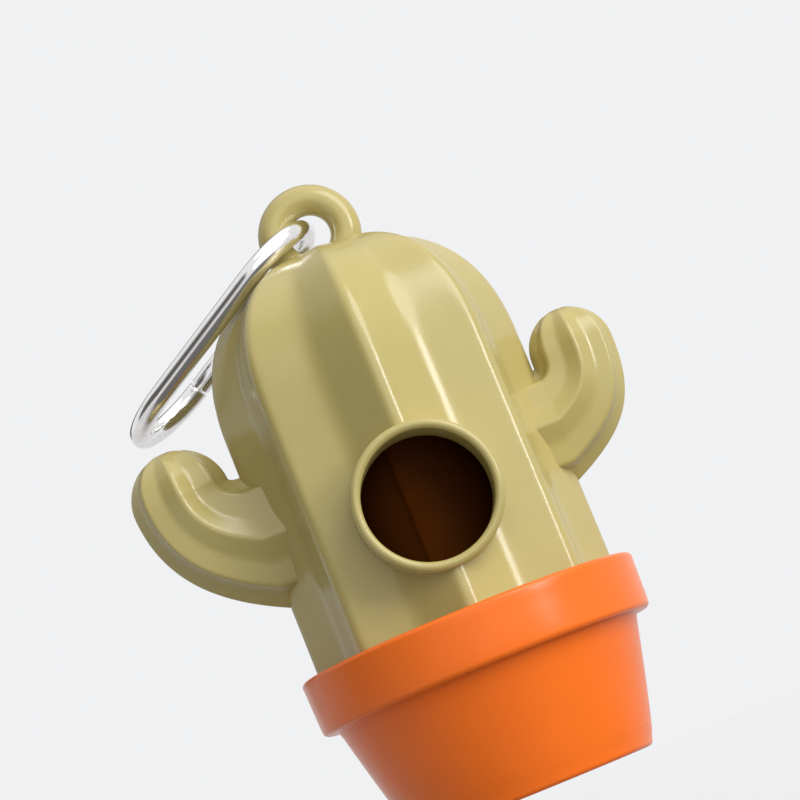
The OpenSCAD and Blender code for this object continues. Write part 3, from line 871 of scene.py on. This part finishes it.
class DISPENSER_OT_stage(bpy.types.Operator):
    """Sets up the pale floor, the soft lamps, the surroundings and the camera"""

    bl_idname = "dispenser.stage"
    bl_label = "Stage"

    def execute(self, context):
        pale = context.scene.dispenser_finishes.backdrop
        self.floor(pale)
        self.surroundings(pale)
        self.lamp("key_lamp", azimuth=50, elevation=34, power=1.74, softness=40)
        self.lamp("low_lamp", azimuth=49, elevation=8, power=0.71, softness=14)
        self.lamp("front_lamp", azimuth=15, elevation=20, power=0.78, softness=60)
        self.lamp("top_lamp", azimuth=50, elevation=80, power=0.48, softness=60)
        self.camera()
        context.scene.view_settings.view_transform = "Standard"
        return {"FINISHED"}

    def floor(self, pale):
        """Lays the floor one pull below the base, so that the pot comes down on to it."""
        bm = bmesh.new()
        bmesh.ops.create_grid(bm, x_segments=2, y_segments=2, size=6,
                              matrix=Matrix.Translation((0, 0, -FLOOR_DEPTH)))
        floor = raw("studio_floor", bm)
        paper = bpy.data.materials.new("pale_floor")
        f = Finish(paper)
        tooth = f.noise(900, 3)
        tone = f.mix(f.ramp(tooth, 0.3, 0.7), shade(pale, 1.08), shade(pale, 1.1))
        # a dark patch in front of the part, which shows only where plate or gloss mirrors it
        patch = f.placed("TEXTURE", Location=(0.121, -0.376, 0), Rotation=(0, 0, math.radians(17)),
                         Scale=(0.32, 0.49, 1))
        spread = f.add("ShaderNodeVectorMath", {"operation": "LENGTH"}, {0: patch}, out="Value")
        mirrored = f.mix(f.ramp(spread, 0.75, 1.1), shade(pale, 0.16), shade(pale, 0.95))
        unseen = f.mix(f.ray("Glossy"), shade(pale, 0.4), mirrored)
        f.surface(Base_Color=f.mix(f.ray("Camera"), unseen, tone), Roughness=0.85 + 0.1 * tooth,
                  Normal=f.bump(tooth, 0.01 * MM))
        floor.data.materials.append(paper)

    def surroundings(self, pale):
        """Pale for the camera, pale with two dark walls where mirrored, and a soft grey for the rest."""
        world = bpy.data.worlds.new("studio")
        bpy.context.scene.world = world
        f = Finish(world)
        way = f.add("ShaderNodeTexCoord", out="Generated")
        left_wall, back_wall, upper_left = (-0.91, -0.4, 0.1), (0.07, 0.98, 0.14), (-0.52, -0.09, 0.85)

        def towards(direction, low, high):
            along = f.add("ShaderNodeVectorMath", {"operation": "DOT_PRODUCT"}, {0: way, 1: direction},
                          out="Value")
            return f.ramp(along, low, high)

        left = towards(left_wall, 0.80, 0.88)
        behind = towards(back_wall, 0.70, 0.80) * (1 - towards(back_wall, 0.92, 0.95))
        behind = behind * towards(upper_left, 0.15, 0.3)
        mirrored = f.mix(left | behind, (*pale, 1), (0.12, 0.115, 0.11, 1))
        level = f.mix(f.ray("Glossy"), (0.32, 0.32, 0.325, 1), mirrored)
        tone = f.mix(f.ray("Camera") | f.ray("Transmission"), level, (*pale, 1))
        shader = f.add("ShaderNodeBackground", {}, {"Color": tone, "Strength": 1.0})
        f.add("ShaderNodeOutputWorld", {}, {"Surface": shader})

    def lamp(self, name, azimuth, elevation, power, softness):
        """A broad distant lamp, slightly warm. Azimuth runs from the outlet's side to the right."""
        light = bpy.data.lights.new(name, "SUN")
        light.energy = power
        light.angle = math.radians(softness)
        light.color = (1.0, 0.985, 0.96)
        made = bpy.data.objects.new(name, light)
        bpy.context.scene.collection.objects.link(made)
        turn = math.radians(azimuth)
        rise = math.radians(elevation)
        away = Vector((math.sin(turn) * math.cos(rise), -math.cos(turn) * math.cos(rise), math.sin(rise)))
        place = Matrix.Translation(away * 0.6)
        made.matrix_world = place @ away.to_track_quat("Z", "Y").to_matrix().to_4x4()

    def camera(self):
        """A long lens in front of the outlet, tilted so that the part leans to the left."""
        lens = bpy.data.cameras.new("view")
        lens.sensor_width = 36
        lens.lens = 119.96
        lens.clip_start = 0.01
        lens.clip_end = 50
        made = bpy.data.objects.new("view", lens)
        bpy.context.scene.collection.objects.link(made)
        right = Vector((0.92732, -0.01415, -0.37401))
        up = Vector((0.36703, -0.16133, 0.91611))
        m = Matrix.Identity(4)
        m.col[0] = (*right, 0)
        m.col[1] = (*up, 0)
        m.col[2] = (*right.cross(up), 0)
        m.col[3] = (-0.024325, -0.367759, 0.003437, 1)
        made.matrix_world = m
        bpy.context.scene.camera = made


OPERATORS = (DISPENSER_OT_shell, DISPENSER_OT_outlet, DISPENSER_OT_arms, DISPENSER_OT_pot,
             DISPENSER_OT_bag_roll, DISPENSER_OT_link, DISPENSER_OT_stage)
GROUPS = {"dispenser_shell": ShellSizes, "dispenser_outlet": OutletSizes, "dispenser_arms": ArmSizes,
          "dispenser_pot": PotSizes, "dispenser_roll": RollSizes, "dispenser_link": LinkSizes,
          "dispenser_finishes": Finishes}


class DISPENSER_PT_sidebar(bpy.types.Panel):
    """Sizes, colours and pieces of the dispenser"""

    bl_label = "Bag dispenser"
    bl_idname = "DISPENSER_PT_sidebar"
    bl_space_type = "VIEW_3D"
    bl_region_type = "UI"
    bl_category = "Dispenser"

    def draw(self, context):
        for name, group in GROUPS.items():
            box = self.layout.box()
            box.label(text=name.split("_")[1].capitalize())
            for key in group.__annotations__:
                box.prop(getattr(context.scene, name), key)
        for operator in OPERATORS:
            self.layout.operator(operator.bl_idname)


def register():
    for group in GROUPS.values():
        bpy.utils.register_class(group)
    for name, group in GROUPS.items():
        setattr(bpy.types.Scene, name, PointerProperty(type=group))
    for operator in OPERATORS:
        bpy.utils.register_class(operator)
    bpy.utils.register_class(DISPENSER_PT_sidebar)


def unregister():
    bpy.utils.unregister_class(DISPENSER_PT_sidebar)
    for operator in reversed(OPERATORS):
        bpy.utils.unregister_class(operator)
    for name, group in GROUPS.items():
        delattr(bpy.types.Scene, name)
        bpy.utils.unregister_class(group)


def main():
    register()
    for operator in OPERATORS:
        family, name = operator.bl_idname.split(".")
        getattr(getattr(bpy.ops, family), name)()


if __name__ == "__main__":
    main()
